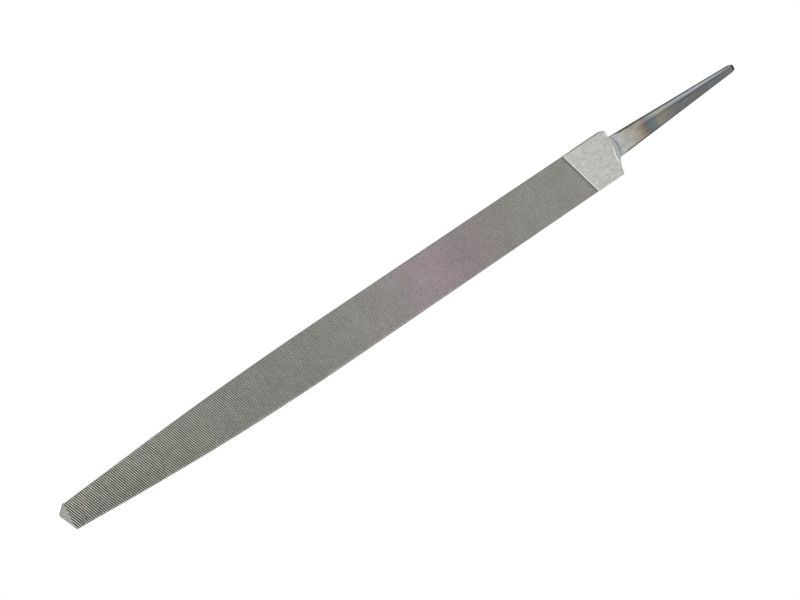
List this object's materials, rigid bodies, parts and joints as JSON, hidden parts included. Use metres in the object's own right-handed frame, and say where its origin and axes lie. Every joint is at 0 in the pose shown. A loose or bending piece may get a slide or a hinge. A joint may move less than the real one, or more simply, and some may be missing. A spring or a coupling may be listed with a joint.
{
  "type": "flat file",
  "caption": "Single-cut flat file for metal, with a tapered belly, a bevelled point, a ground heel and a bare tang for a handle.",
  "frame": {"origin": "root of the tang on its centre line, level with the back shoulder and halfway through the thickness", "axes": "+X along the file from the tang to the point, +Z square to the upper face, +Y towards the front edge, the one that takes more of the taper"},
  "size_m": [0.3199, 0.0194, 0.004],
  "materials": {
    "ground_steel": "bright ground steel with a fine grain along the length",
    "cut_steel": "hardened grey steel, blasted after cutting",
    "blued_steel": "dark steel with heat colours near the heel, from straw to brown to blue"
  },
  "bodies": {
    "root": {"point": "ground_steel", "blade": "cut_steel", "heel": "ground_steel", "tang": "blued_steel"}
  },
  "joints": []
}
